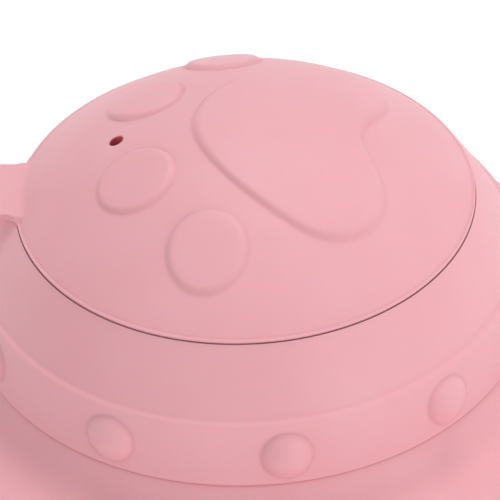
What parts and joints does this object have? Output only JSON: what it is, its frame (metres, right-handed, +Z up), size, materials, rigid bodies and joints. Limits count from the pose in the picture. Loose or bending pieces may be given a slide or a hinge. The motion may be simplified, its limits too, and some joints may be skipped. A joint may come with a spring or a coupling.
{
  "type": "suction bowl",
  "caption": "Round toddler's suction bowl: a domed lid with a raised paw and pull tab, a lift-out food bowl, a sloped shell with a studded band, and a wide suction flange.",
  "frame": {"origin": "centre of the sealing lip, on the table that the bowl stands on", "axes": "+Z up along the bowl's axis; the lid's pull tab points along -X when the lid is on"},
  "size_m": [0.156, 0.156, 0.0612],
  "materials": {
    "lid_silicone": "matte moulded silicone",
    "bowl_polypropylene": "satin moulded polypropylene",
    "shell_silicone": "matte moulded silicone",
    "core_polypropylene": "satin moulded polypropylene",
    "cup_silicone": "matte moulded silicone, polished sealing lip"
  },
  "bodies": {
    "base": {"suction_cup": "cup_silicone", "base_core": "core_polypropylene", "outer_shell": "shell_silicone"},
    "bowl": {"food_bowl": "bowl_polypropylene"},
    "cover": {"lid": "lid_silicone"}
  },
  "joints": [
    {"name": "bowl_lift", "type": "slide", "parent": "base", "child": "bowl", "axis": [0, 0, 1], "range_m": [0, 0.06]},
    {"name": "lid_lift", "type": "slide", "parent": "bowl", "child": "cover", "axis": [0, 0, 1], "range_m": [0, 0.08]}
  ]
}
